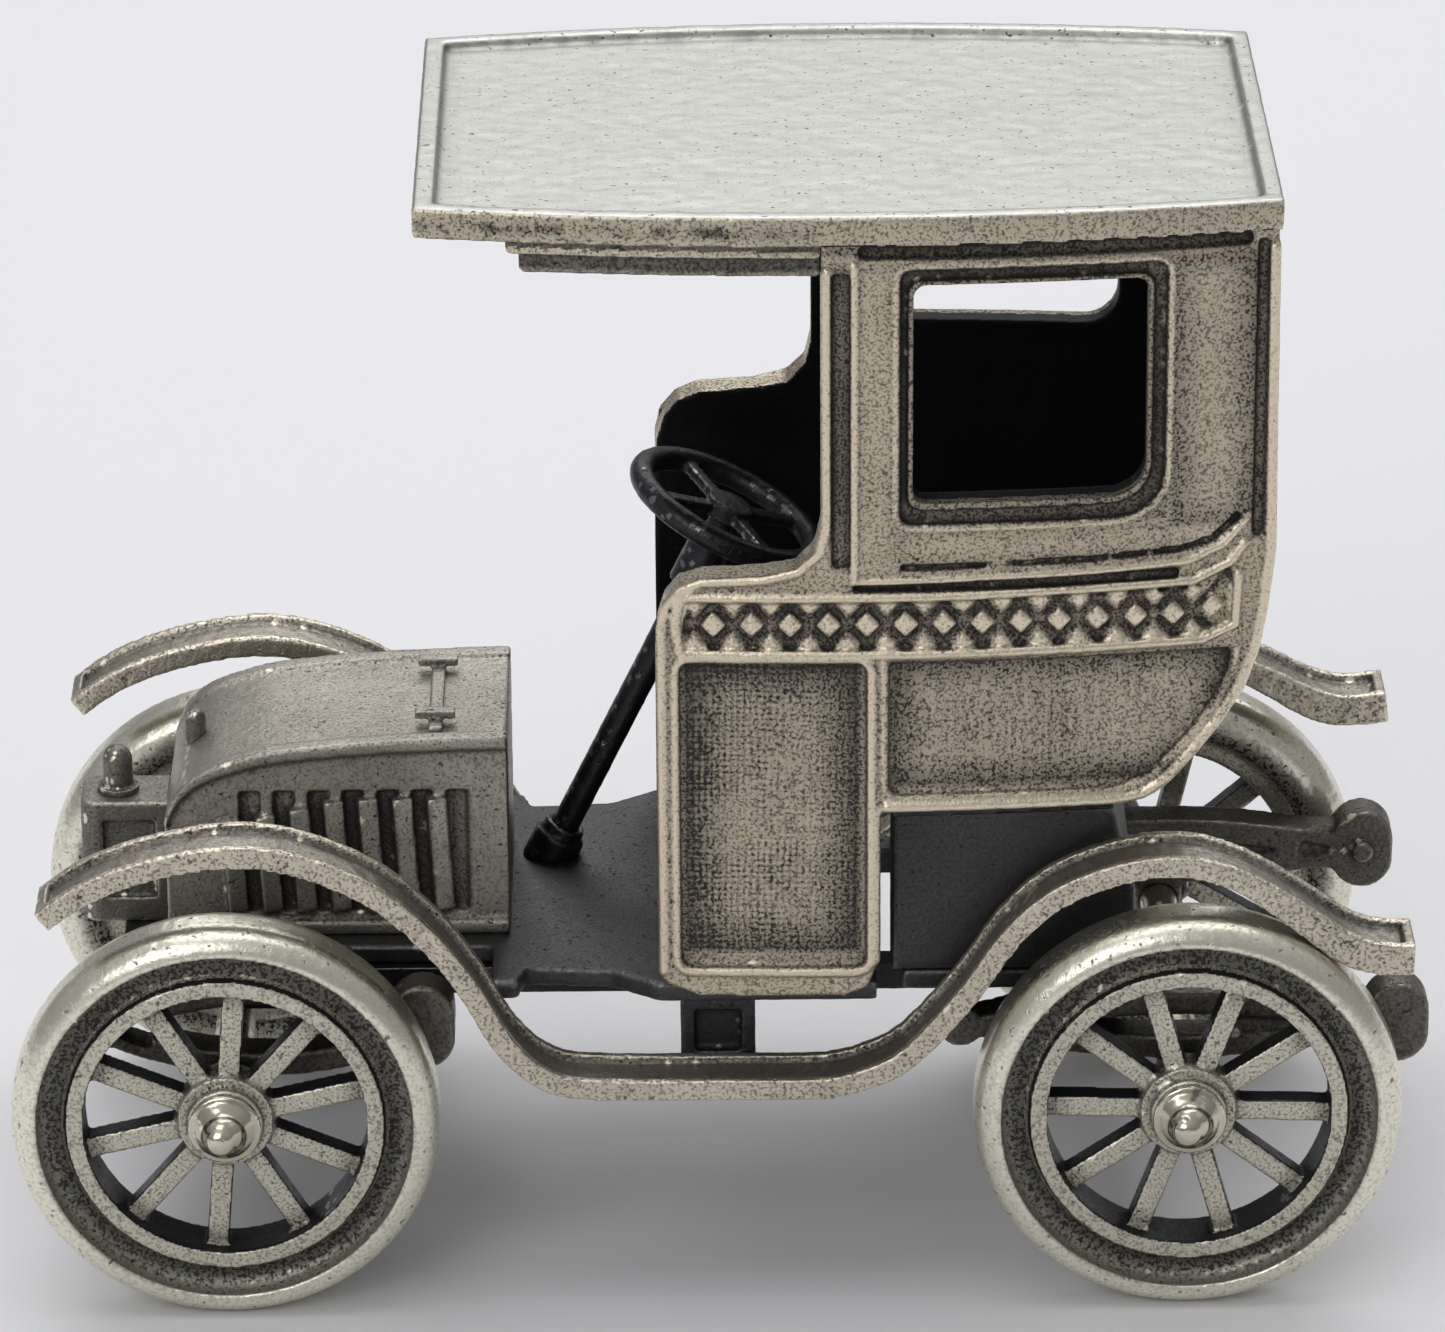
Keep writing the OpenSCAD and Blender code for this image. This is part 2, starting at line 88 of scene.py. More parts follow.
def maths(tree, operation, a, b=0.0, clamp=True):
    """a (operation) b, where either may be a socket or a number."""
    n = node(tree, "ShaderNodeMath", operation=operation, use_clamp=clamp)
    for socket, value in ((n.inputs[0], a), (n.inputs[1], b)):
        if isinstance(value, (int, float)):
            socket.default_value = value
        else:
            tree.links.new(value, socket)
    return n.outputs[0]


def blend_colour(tree, factor, a, b):
    """Mixes colour a into b by factor."""
    n = node(tree, "ShaderNodeMix", data_type="RGBA")
    for index, value in ((0, factor), (6, a), (7, b)):
        if hasattr(value, "is_linked"):
            tree.links.new(value, n.inputs[index])
        else:
            n.inputs[index].default_value = value if index == 0 else tuple(value) + (1,)
    return n.outputs[2]


def hypotenuse(tree, a, b):
    """The length of the sides a and b taken together."""
    square = maths(tree, "ADD", maths(tree, "MULTIPLY", a, a, clamp=False),
                   maths(tree, "MULTIPLY", b, b, clamp=False), clamp=False)
    return maths(tree, "SQRT", square, clamp=False)


def pattern(tree, place, scale, detail=2.0, rough=0.5, stretch=None):
    """Noise on the piece's own coordinates; scale counts lumps per metre."""
    source = place
    if stretch:
        m = node(tree, "ShaderNodeMapping")
        m.inputs["Scale"].default_value = stretch
        tree.links.new(place, m.inputs["Vector"])
        source = m.outputs["Vector"]
    n = node(tree, "ShaderNodeTexNoise", Scale=scale, Detail=detail, Roughness=rough)
    tree.links.new(source, n.inputs["Vector"])
    return n.outputs["Fac"]


def within(tree, place, low, high, soft=0.25):
    """1 inside a block between two corners in millimetres and 0 outside; None leaves a side open."""
    parts = node(tree, "ShaderNodeSeparateXYZ")
    tree.links.new(place, parts.inputs[0])
    total = None
    for axis, (a, b) in enumerate(zip(low, high)):
        for edge, sign in ((a, 1.0), (b, -1.0)):
            if edge is None:
                continue
            span = maths(tree, "SUBTRACT", parts.outputs[axis], edge * MM, clamp=False)
            span = maths(tree, "MULTIPLY", span, sign / (soft * MM))
            total = span if total is None else maths(tree, "MULTIPLY", total, span)
    return total


def above_panel(tree, place, start, span):
    """Rises from 0 to 1 over span, from start millimetres outside a cab side's full bowed face."""
    parts = node(tree, "ShaderNodeSeparateXYZ")
    tree.links.new(place, parts.inputs[0])
    along = maths(tree, "SUBTRACT", parts.outputs["X"], BOW_X * MM, clamp=False)
    across = maths(tree, "ABSOLUTE", parts.outputs["Y"], clamp=False)
    across = maths(tree, "ADD", across, (BOW_R - CAB_HALF) * MM, clamp=False)
    radius = hypotenuse(tree, along, across)
    height = maths(tree, "SUBTRACT", radius, (BOW_R + start) * MM, clamp=False)
    return maths(tree, "MULTIPLY", height, 1.0 / (span * MM))


def inner_band(tree, place, axle_x, dark, clear):
    """1 out to the radius dark from an axle, falling to 0 at the radius clear, in millimetres."""
    parts = node(tree, "ShaderNodeSeparateXYZ")
    tree.links.new(place, parts.inputs[0])
    along = maths(tree, "SUBTRACT", parts.outputs["X"], axle_x * MM, clamp=False)
    upward = maths(tree, "SUBTRACT", parts.outputs["Z"], WHEEL_R * MM, clamp=False)
    inward = maths(tree, "SUBTRACT", clear * MM, hypotenuse(tree, along, upward), clamp=False)
    return maths(tree, "MULTIPLY", inward, 1.0 / ((clear - dark) * MM))


def file_lines(tree, place, direction, pitch, wander=4.5):
    """Dark scratches left by a file, pitch millimetres apart, counted along direction."""
    wave = node(tree, "ShaderNodeTexWave", wave_type="BANDS", bands_direction=direction)
    wave.inputs["Scale"].default_value = 2 * math.pi / (20 * pitch * MM)
    wave.inputs["Distortion"].default_value = wander
    wave.inputs["Detail"].default_value = 2.0
    wave.inputs["Detail Scale"].default_value = 0.35
    tree.links.new(place, wave.inputs["Vector"])
    return ramp(tree, wave.outputs["Fac"], [(0.15, 1.0), (0.60, 0.0)])


def cast_metal(
    name,
    high,
    patina,
    worn,
    rough,
    pores=0.5,
    pore_scale=8500.0,
    grain=0.5,
    streaked=(),
    filed=(),
    coverage=0.2,
    recess=0.9,
    edge_gain=0.5,
    reach=1.1,
    sunk=0.0,
    soft_pores=0.18,
    shade_and_dark_zones=(),
    framed=(),
    sharp=(0.525, 0.60),
    banded=None,
):
    """Antiqued white metal: bright worn metal over a dark oxide that stays in hollows and pores.

    high, patina and worn are the colours of the open surface, the oxide and rubbed edges.
    coverage is how much oxide is left on open surfaces, and recess how dark a hollow is.
    streaked lists brush marks as (stretch, strength, low corner, high corner), and filed lists
    regular file lines as (direction, pitch, strength, low corner, high corner).
    sunk is the extra oxide on cab panels that are cut back into the relief. soft_pores is how
    gently a pore fades out, and the list of darker regions, some of them painted shade, holds
    (strength, low corner, high corner).
    framed lists panels with oxide left along their borders as (strength, reach, low corner, high
    corner), and sharp is the range of Pointiness that counts as a rubbed edge. banded is the oxide
    on the inner part of a tyre as (strength, axle position, dark radius, clear radius).
    """
    m = bpy.data.materials.new(name)
    m.use_nodes = True
    t = m.node_tree
    t.nodes.clear()

    def more(oxide, amount, strength):
        return maths(t, "ADD", oxide, maths(t, "MULTIPLY", amount, strength))

    place = node(t, "ShaderNodeTexCoord").outputs["Object"]
    geometry = node(t, "ShaderNodeNewGeometry")
    edge = ramp(t, geometry.outputs["Pointiness"], [(sharp[0], 0.0), (sharp[1], 1.0)])
    hollow = ramp(t, geometry.outputs["Pointiness"], [(0.42, 1.0), (0.485, 0.0)])

    # nearby walls keep the oxide in the recesses
    ao = node(t, "ShaderNodeAmbientOcclusion", samples=6, only_local=True)
    ao.inputs["Distance"].default_value = reach * MM
    shade = ramp(t, ao.outputs["AO"], [(0.40, 1.0), (0.97, 0.0)])

    # fine sand-cast grit, sparse open pits, and slow changes over the surface
    grit = pattern(t, place, pore_scale, 3.0, 0.6)
    grit_mask = ramp(t, grit, [(0.40, 1.0), (0.40 + soft_pores, 0.0)])
    pits = pattern(t, place, pore_scale * 0.5, 2.0, 0.5)
    pit_mask = ramp(t, pits, [(0.28, 1.0), (0.36, 0.0)])
    cloud = ramp(t, pattern(t, place, 240.0, 2.0, 0.5), [(0.30, 0.0), (0.75, 1.0)])

    oxide = maths(t, "MULTIPLY", grit_mask, pores)
    oxide = maths(t, "MAXIMUM", oxide, maths(t, "MULTIPLY", pit_mask, 0.7))
    oxide = more(oxide, cloud, coverage)
    oxide = more(oxide, hollow, 0.5 * recess)
    oxide = more(oxide, shade, recess)

    # where the oxide was left on purpose, and where handling rubbed it off
    if sunk:
        full_face = above_panel(t, place, -0.11, 0.09)
        ridges = maths(t, "MULTIPLY", above_panel(t, place, 0.04, 0.08), 0.9)
        diamonds = maths(t, "MULTIPLY", full_face, within(t, place, *LATTICE, 0.1))
        oxide = more(oxide, maths(t, "SUBTRACT", 1.0, full_face), sunk)
        edge = maths(t, "MAXIMUM", maths(t, "MAXIMUM", edge, ridges), diamonds)
    # darker regions, among them the painted shadow of the roof under the eaves
    for strength, low, top in shade_and_dark_zones:
        oxide = more(oxide, within(t, place, low, top), strength)
    if banded:
        band = maths(t, "MULTIPLY", inner_band(t, place, *banded[1:]), banded[0])
        oxide = maths(t, "ADD", oxide, band)
        oxide = more(oxide, grit_mask, maths(t, "MULTIPLY", band, 0.8))
    for strength, border, low, top in framed:
        middle = within(t, place, low, top, border)
        frame_line = maths(t, "MULTIPLY", within(t, place, low, top), maths(t, "SUBTRACT", 1.0, middle))
        oxide = more(oxide, frame_line, strength)

    # brush and file marks, which fade in and out and cut into the surface
    height = maths(t, "ADD", maths(t, "MULTIPLY", grit, 0.8),
                   maths(t, "MULTIPLY", pit_mask, -0.8, clamp=False), clamp=False)
    marks = []
    for stretch, strength, low, top in streaked:
        brushed = ramp(t, pattern(t, place, 1.0, 3.0, 0.65, stretch), [(0.36, 1.0), (0.60, 0.0)])
        marks.append((brushed, strength, low, top))
    for direction, pitch, strength, low, top in filed:
        marks.append((file_lines(t, place, direction, pitch), strength, low, top))
    fading = ramp(t, pattern(t, place, 420.0, 2.0, 0.6), [(0.36, 1.0), (0.60, 0.25)])
    for lines, strength, low, top in marks:
        lines = maths(t, "MULTIPLY", lines, fading)
        if low:
            lines = maths(t, "MULTIPLY", lines, within(t, place, low, top))
        oxide = more(oxide, lines, strength)
        height = maths(t, "SUBTRACT", height, maths(t, "MULTIPLY", lines, strength * 2.0), clamp=False)
    oxide = maths(t, "SUBTRACT", oxide, maths(t, "MULTIPLY", edge, edge_gain))

    open_metal = blend_colour(t, edge, high, worn)
    colour = blend_colour(t, oxide, open_metal, patina)
    rough_value = maths(t, "ADD", maths(t, "MULTIPLY", oxide, 0.30), rough)

    bump = node(t, "ShaderNodeBump", Strength=grain)
    bump.inputs["Distance"].default_value = 0.035 * MM
    t.links.new(height, bump.inputs["Height"])
    shader = node(t, "ShaderNodeBsdfPrincipled")
    shader.inputs["Specular IOR Level"].default_value = 0.4
    t.links.new(colour, shader.inputs["Base Color"])
    t.links.new(maths(t, "SUBTRACT", 1.0, maths(t, "MULTIPLY", oxide, 0.6)), shader.inputs["Metallic"])
    t.links.new(rough_value, shader.inputs["Roughness"])
    t.links.new(bump.outputs["Normal"], shader.inputs["Normal"])
    out = node(t, "ShaderNodeOutputMaterial")
    t.links.new(shader.outputs["BSDF"], out.inputs["Surface"])
    return m


OXIDE = (0.026, 0.0235, 0.021)

# regions of a cab side as (low corner, high corner), in millimetres
DOOR = ((-5.3, None, 14.7), (1.7, None, 27.3))
QUARTER = ((-19.8, None, 21.8), (-6.3, None, 27.5))
WINDOW = ((-17.1, None, 32.7), (-6.45, None, 43.75))
# the band under the roof's edge, where the roof's shadow is painted
EAVES = ((-20.2, None, 43.85), (-3.6, None, 46.0))
POST = ((-4.9, None, 31.0), (-3.95, None, 43.9))
LATTICE = ((-19.6, None, 27.8), (1.7, None, 29.95))
PILLAR = ((-6.6, None, 31.4), (-4.9, None, 43.7))
CORNER_POST = ((-20.4, None, 32.4), (-17.0, None, 43.8))
UNDER_WINDOW = ((-17.2, None, 31.3), (-6.5, None, 32.8))
# darker regions as (strength, low corner, high corner): the band under the eaves is painted shadow of the
# roof; the window surround, door post and lattice are darkened
SHADE_AND_DARK_ZONES = ((0.30, *WINDOW), (0.36, *EAVES), (0.22, *POST), (0.20, *LATTICE))
BORDERS = (
    (0.55, 1.9, *DOOR),
    (0.42, 1.5, *QUARTER),
    (0.45, 1.3, *CORNER_POST),
    (0.22, 0.5, *PILLAR),
    (0.25, 0.6, *UNDER_WINDOW),
)
BRUSHED_QUARTER = (((5200.0, 400.0, 300.0), 0.26, *QUARTER),)
FILED_DOOR = (("X", 0.25, 0.24, *DOOR), ("Z", 0.25, 0.22, *DOOR))
BLOTCHED_RIM = (((1100.0, 1100.0, 1100.0), 0.85, (-3.7, None, 44.9), (12.0, None, 45.55)),)
BRUSHED_ROOF = (((3600.0, 260.0, 400.0), 0.07, None, None), ((300.0, 3600.0, 400.0), 0.05, None, None))
BLOTCHED_LIP = (((1500.0, 1500.0, 1500.0), 0.22, None, None),)

# finishes
# the cab sides' finish, with the painted shadow of the roof under the eaves
RELIEF_METAL = cast_metal(
    "relief_casting",
    high=(0.62, 0.54, 0.415), patina=OXIDE, worn=(0.82, 0.72, 0.55), rough=0.34, pores=0.58,
    pore_scale=8500, grain=0.8, streaked=BRUSHED_QUARTER, filed=FILED_DOOR, coverage=0.20, recess=0.85,
    edge_gain=0.5, reach=1.8, sunk=0.06, soft_pores=0.12, shade_and_dark_zones=SHADE_AND_DARK_ZONES, framed=BORDERS,
    sharp=(0.56, 0.70),
)
RIM_METAL = cast_metal(
    "rim_casting",
    high=(0.60, 0.53, 0.41), patina=OXIDE, worn=(0.90, 0.82, 0.66), rough=0.38, pores=0.62,
    pore_scale=8000, grain=0.8, streaked=BLOTCHED_RIM, coverage=0.12, soft_pores=0.10,
)
CORNICE_METAL = cast_metal(
    "cornice_casting",
    high=(0.27, 0.25, 0.21), patina=OXIDE, worn=(0.66, 0.60, 0.50), rough=0.42, pores=0.5,
    pore_scale=7600, grain=0.8, coverage=0.3,
)
ROOF_METAL = cast_metal(
    "roof_casting",
    high=(0.55, 0.55, 0.515), patina=OXIDE, worn=(0.80, 0.76, 0.66), rough=0.36, pores=0.07,
    pore_scale=8000, grain=0.3, streaked=BRUSHED_ROOF, coverage=0.05, sharp=(0.57, 0.72),
)
HOOD_METAL = cast_metal(
    "hood_casting",
    high=(0.44, 0.415, 0.36), patina=OXIDE, worn=(0.88, 0.80, 0.66), rough=0.38, pores=0.36,
    pore_scale=8500, grain=0.7, coverage=0.24, recess=1.0, edge_gain=0.8, soft_pores=0.12,
    sharp=(0.545, 0.64),
)
FENDER_METAL = cast_metal(
    "fender_casting",
    high=(0.42, 0.39, 0.335), patina=OXIDE, worn=(0.84, 0.77, 0.63), rough=0.34, pores=0.30,
    pore_scale=7600, grain=0.6, coverage=0.22, edge_gain=0.7, recess=1.0, reach=1.6, soft_pores=0.14,
)
LIP_METAL = cast_metal(
    "fender_lip_casting",
    high=(0.70, 0.63, 0.51), patina=OXIDE, worn=(0.92, 0.84, 0.69), rough=0.34, pores=0.55,
    pore_scale=7000, grain=0.9, streaked=BLOTCHED_LIP, coverage=0.10, edge_gain=0.7, soft_pores=0.10,
)
TYRE_METALS = {
    end: cast_metal(
        f"{end}_tyre_casting",
        high=(0.86, 0.84, 0.70), patina=OXIDE, worn=(0.93, 0.91, 0.77), rough=0.28, pores=0.22,
        pore_scale=6400, grain=0.4, coverage=0.04, recess=1.0, reach=0.9, soft_pores=0.12,
        sharp=(0.57, 0.70), banded=(0.60, AXLE_X[end], 6.75, 7.6),
    )
    for end in ("front", "rear")
}
SPOKE_METAL = cast_metal(
    "spoke_casting",
    high=(0.64, 0.61, 0.50), patina=OXIDE, worn=(0.90, 0.86, 0.72), rough=0.34, pores=0.50,
    pore_scale=8500, grain=0.7, coverage=0.10, recess=1.0, soft_pores=0.12,
)
AXLE_METAL = cast_metal(
    "peened_axle",
    high=(0.66, 0.62, 0.50), patina=OXIDE, worn=(0.84, 0.80, 0.66), rough=0.17, pores=0.05,
    pore_scale=2600, grain=0.4, coverage=0.10, recess=0.9,
)
DARK_METAL = cast_metal(
    "blackened_casting",
    high=(0.055, 0.056, 0.060), patina=(0.010, 0.010, 0.011), worn=(0.24, 0.24, 0.25), rough=0.32,
    pores=0.30, pore_scale=7000, grain=0.6, coverage=0.3,
)
NOSE_METAL = cast_metal(
    "nose_casting",
    high=(0.24, 0.225, 0.195), patina=OXIDE, worn=(0.80, 0.73, 0.60), rough=0.38, pores=0.40,
    pore_scale=8000, grain=0.8, coverage=0.3, edge_gain=0.7,
)
SPRING_METAL = cast_metal(
    "spring_casting",
    high=(0.17, 0.16, 0.14), patina=(0.020, 0.019, 0.017), worn=(0.60, 0.55, 0.46), rough=0.38,
    pores=0.4, pore_scale=7000, grain=0.8, coverage=0.3,
)
FLOOR_METAL = cast_metal(
    "floor_casting",
    high=(0.092, 0.090, 0.092), patina=(0.020, 0.020, 0.021), worn=(0.34, 0.33, 0.32), rough=0.42,
    pores=0.30, pore_scale=7000, grain=0.5, coverage=0.25,
)
# painted shade: a near-black finish for the inner faces of the cab, the walls of its windows and the
# roof's underside, which lie in shadow
INSIDE_SHADE_METAL = cast_metal(
    "inside_painted_shade",
    high=(0.018, 0.018, 0.020), patina=(0.006, 0.006, 0.007), worn=(0.06, 0.06, 0.06), rough=0.5,
    pores=0.3, pore_scale=7000, grain=0.5, coverage=0.3,
)


# ================= casting helpers =================
def new_object(name, mesh):
    o = bpy.data.objects.new(name, mesh)
    bpy.context.scene.collection.objects.link(o)
    return o


def bow_y(x, half):
    """How far out a bowed side stands at x, in millimetres."""
    return half - BOW_R + math.sqrt(BOW_R * BOW_R - (x - BOW_X) ** 2)


def bead(bm, path, radius, closed=False):
    """Adds a round bead along a path of points in millimetres."""
    curve = bpy.data.curves.new("bead", "CURVE")
    curve.dimensions = "3D"
    s = curve.splines.new("POLY")
    s.points.add(len(path) - 1)
    for p, q in zip(s.points, path):
        p.co = (q[0] * MM, q[1] * MM, q[2] * MM, 1)
    s.use_cyclic_u = closed
    curve.bevel_depth = radius * MM
    curve.bevel_resolution = 2
    curve.use_fill_caps = True
    o = bpy.data.objects.new("bead", curve)
    bpy.context.scene.collection.objects.link(o)
    mesh = bpy.data.meshes.new_from_object(o.evaluated_get(bpy.context.evaluated_depsgraph_get()))
    bm.from_mesh(mesh)
    bpy.data.objects.remove(o)
    bpy.data.curves.remove(curve)
    bpy.data.meshes.remove(mesh)


def block(bm, low, high, turn=None):
    """Adds a block between two corners in millimetres, turned about its middle by a matrix."""
    low, high = Vector(low), Vector(high)
    centre, size = (low + high) / 2 * MM, (high - low) * MM
    place = Matrix.Translation(centre)
    if turn is not None:
        place = place @ turn.to_4x4()
    bmesh.ops.create_cube(bm, size=1, matrix=place @ Matrix.Diagonal(size).to_4x4())


def casting(name, sources, body, metal, voxel, lump, extra=None, lump_size=0.45, patches=()):
    """One finished casting: the CAD nodes with added detail, fused and softened like cast metal.

    voxel is the fusing grid, lump the height of the cast surface's unevenness, in millimetres.
    patches are more finishes, each with a test of a face's centre, in millimetres, and normal.
    """
    bm = bmesh.new()
    for source in sources:
        part = bmesh.new()
        part.from_mesh(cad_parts[source].data)
        bmesh.ops.remove_doubles(part, verts=part.verts, dist=1e-7)
        mesh = bpy.data.meshes.new("part")
        part.to_mesh(mesh)
        part.free()
        bm.from_mesh(mesh)
        bpy.data.meshes.remove(mesh)
    if extra:
        extra(bm)
    mesh = bpy.data.meshes.new(name)
    bm.to_mesh(mesh)
    bm.free()
    o = new_object(name, mesh)
    remesh = o.modifiers.new("fuse", "REMESH")
    remesh.mode = "VOXEL"
    remesh.voxel_size = voxel * MM
    remesh.use_smooth_shade = True
    soften = o.modifiers.new("soften", "SMOOTH")
    soften.factor = 0.5
    soften.iterations = 1
    cloud = bpy.data.textures.new(name + "_cast", "CLOUDS")
    cloud.noise_scale = lump_size * MM
    cloud.noise_depth = 2
    uneven = o.modifiers.new("uneven", "DISPLACE")
    uneven.texture = cloud
    uneven.texture_coords = "LOCAL"
    uneven.strength = lump * MM * 2
    uneven.mid_level = 0.5
    mesh = bpy.data.meshes.new_from_object(o.evaluated_get(bpy.context.evaluated_depsgraph_get()))
    old = o.data
    o.modifiers.clear()
    o.data = mesh
    bpy.data.meshes.remove(old)
    mesh.name = name
    mesh.materials.clear()
    mesh.materials.append(metal)
    for number, (finish, chosen) in enumerate(patches, 1):
        mesh.materials.append(finish)
        for face in mesh.polygons:
            if chosen(face.center / MM, face.normal):
                face.material_index = number
    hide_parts(*sources)
    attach(o, body)
    return o


def ball(bm, centre, radius, flat=1.0):
    """Adds a round knob, squashed across the car by flat."""
    place = Matrix.Translation(Vector(centre) * MM) @ Matrix.Diagonal((1, flat, 1, 1))
    bmesh.ops.create_uvsphere(bm, u_segments=32, v_segments=20, radius=radius * MM, matrix=place)


# ================= the car =================
def spring_filling(side):
    """The metal that fills a rear spring between its leaves; side is 1 for the left."""

    def add(bm):
        inner, outer = sorted((side * 7.5, side * 8.7))
        block(bm, (-26.4, inner, 9.75 + BODY_LIFT), (-20.0, outer, 11.65 + BODY_LIFT))

    return add


def peened_ends(x):
    """The collar and the hammered nub on both ends of an axle."""

    def add(bm):
        for side in (-1, 1):
            face = side * (WHEEL_Y + 1.25)
            ball(bm, (x, face + side * 0.55, WHEEL_R), 0.86, 0.8)
            ball(bm, (x + 0.12, face + side * 1.02, WHEEL_R - 0.12), 0.6, 0.62)

    return add


def cornice_lines(bm):
    """The two fine ridges along each side of the cornice over the driver."""
    for side in (-1, 1):
        for z, half, front in ((CORNICE_STEP, CAB_HALF, 8.1), (43.2, CAB_HALF - 0.3, 7.6)):
            rear = SEAM_X + 0.1
            xs = [rear + (front - rear) * i / 12 for i in range(13)]
            bead(bm, [(x, side * bow_y(x, half), z + BODY_LIFT) for x in xs], 0.15)


def louvre_ribs(bm):
    """The leaning ribs between the hood's louvres."""
    pitch = LOUVRE_RUN / LOUVRES
    for side in (-1, 1):
        lean = Matrix.Rotation(math.radians(side * 16), 3, "Z") @ Matrix.Rotation(math.radians(3), 3, "Y")
        y = side * (HOOD_HALF + 0.02)
        for i in range(LOUVRES):
            x = LOUVRE_START + pitch * (i + 0.98)
            top = 18.9 - max(0.0, x - 15.0) * 0.22
            block(bm, (x - 0.40, y - 0.26, 14.0 + BODY_LIFT), (x + 0.40, y + 0.26, top + BODY_LIFT), lean)


def rounded_box(x0, z0, x1, z1, corner, rear_low):
    """A closed outline round a box, whose lower rear corner has a radius of its own."""
    points = []
    for x, z, start, radius in (
        (x1 - corner, z1 - corner, 0, corner),
        (x0 + corner, z1 - corner, 90, corner),
        (x0 + rear_low, z0 + rear_low, 180, rear_low),
        (x1 - corner, z0 + corner, 270, corner),
    ):
        for k in range(5):
            a = math.radians(start + k * 22.5)
            points.append((x + radius * math.cos(a), z + radius * math.sin(a)))
    return points + points[:1]


def on_panel(points, side, proud, step=0.8):
    """Lays an X-Z outline on a cab side's bowed face, proud millimetres outside it."""
    spread = []
    for a, b in zip(points, points[1:]):
        pieces = max(1, int(math.dist(a, b) / step))
        spread += [(a[0] + (b[0] - a[0]) * i / pieces, a[1] + (b[1] - a[1]) * i / pieces)
                   for i in range(pieces)]
    spread.append(points[-1])
    return [(x, side * (bow_y(x, CAB_HALF) + proud), z + BODY_LIFT) for x, z in spread]


# the raised ridges as (outline, height outside the panel, radius, whether it closes)
RIDGES = (
    # door
    (rounded_box(-5.62, 14.0, 1.97, 27.4, 0.6, 0.6), -0.05, 0.2, True),
    # rear quarter
    ([(-6.1, 27.35), (-6.1, 21.8), (-6.5, 21.4), (-15.1, 21.4), (-16.6, 22.0), (-18.1, 23.6),
      (-19.1, 25.0), (-19.65, 26.2), (-19.8, 27.35)], -0.06, 0.16, False),
    # lattice band: above, below and in front
    ([(1.8, 29.95), (-8, 29.95), (-18.0, 30.15), (-19.4, 30.8), (-20.1, 31.7)], 0.0, 0.2, False),
    ([(1.8, 27.6), (-8.6, 27.55), (-18.4, 27.65), (-19.7, 28.2), (-19.8, 30.4)], 0.0, 0.2, False),
    ([(1.75, 29.95), (1.95, 28.8), (1.75, 27.6)], 0.0, 0.2, False),
    # window
    (rounded_box(-17.0, 32.8, -6.55, 43.5, 0.6, 2.0), -0.05, 0.17, True),
    # door post and the line under the window
    ([(-4.95, 43.6), (-4.95, 30.6), (-14.4, 30.8), (-17.8, 31.0), (-19.2, 31.6), (-20.2, 32.8)],
     0.0, 0.16, False),
    # rear edge of the door
    ([(-5.86, 21.1), (-5.86, 14.4)], -0.05, 0.16, False),
    # front edge of the cab
    ([(-3.9, 43.4), (-3.9, 33.0), (-3.6, 31.8), (-2.8, 31.05), (-1.4, 30.7), (0.9, 30.6), (1.75, 30.25),
      (2.3, 29.6), (2.5, 28.7), (2.5, 13.9)], -0.02, 0.2, False),
    # rear edge and sill
    ([(-20.95, 43.8), (-20.98, 37.0), (-21.05, 31.3), (-20.75, 28.6), (-20.45, 27.0), (-19.95, 25.6),
      (-19.15, 24.3), (-18.05, 22.9), (-17.1, 21.85), (-16.2, 21.25), (-15.1, 21.1), (-6.1, 21.1)],
     -0.02, 0.24, False),
)
LATTICE_PITCH = 1.48
LATTICE_FRONT = 1.2
LATTICE_REAR = -19.2
# the lattice's rows of diamonds as (height, half size, shift along the row in pitches)
LATTICE_ROWS = ((27.98, 0.19, 0.0), (28.8, 0.30, 0.5), (29.62, 0.19, 0.0))


def side_relief(side):
    """The raised ridges and the lattice of one cab side; side is 1 for the left."""

    def add(bm):
        for outline, proud, radius, closed in RIDGES:
            bead(bm, on_panel(outline, side, proud), radius, closed)
        lean = Matrix.Rotation(math.radians(45), 3, "Y")
        for z, half, shift in LATTICE_ROWS:
            for i in range(15):
                x = LATTICE_FRONT - LATTICE_PITCH * (i + shift)
                if x < LATTICE_REAR:
                    continue
                y = side * (bow_y(x, CAB_HALF) - 0.2)
                lift = BODY_LIFT + max(0.0, -17.5 - x) * 0.18    # the band turns up toward the tail
                block(bm, (x - half, y - 0.2, z - half + lift), (x + half, y + 0.2, z + half + lift), lean)

    return add


def inside_face(side):
    """Tells the inner face of a cab side and the walls of its window, which get painted shade, from its
    outer face.
    """

    def chosen(c, n):
        in_window = -17.0 < c.x < -6.4 and 32.5 < c.z - BODY_LIFT < 43.8
        return n.y * side < -0.5 or (in_window and c.y * side < bow_y(c.x, CAB_HALF) - 0.5)

    return chosen


def roof_rim(c, n):
    """Tells the upright edge of the roof."""
    beside = bow_y(c.x, ROOF_HALF) - abs(c.y) < 0.5
    at_end = not -20.9 < c.x < 11.4
    return n.z < 0.55 and (beside or at_end)


def cornice_ridge(c, n):
    """Tells the upper ridge of the cornice."""
    return abs(c.z - BODY_LIFT - CORNICE_STEP) < 0.17 and bow_y(c.x, CAB_HALF) - abs(c.y) < 0.2


def tyre_face(x):
    """Tells a wheel's tyre from its rim and spokes."""
    return lambda c, n: math.hypot(c.x - x, c.z - WHEEL_R) > TYRE_INSIDE


def spoke_wall(x):
    """Tells the walls of the spokes and the inside of the rim, which the polishing never reached."""
    return lambda c, n: HUB_R < math.hypot(c.x - x, c.z - WHEEL_R) < TYRE_INSIDE - 0.1 and abs(n.y) < 0.55


def fender_lip(c, n):
    """Tells the rubbed lips of a fender from its channel and its underside."""
    return n.z > -0.6 and not FENDER_LIPS[0] < abs(c.y) < FENDER_LIPS[1]


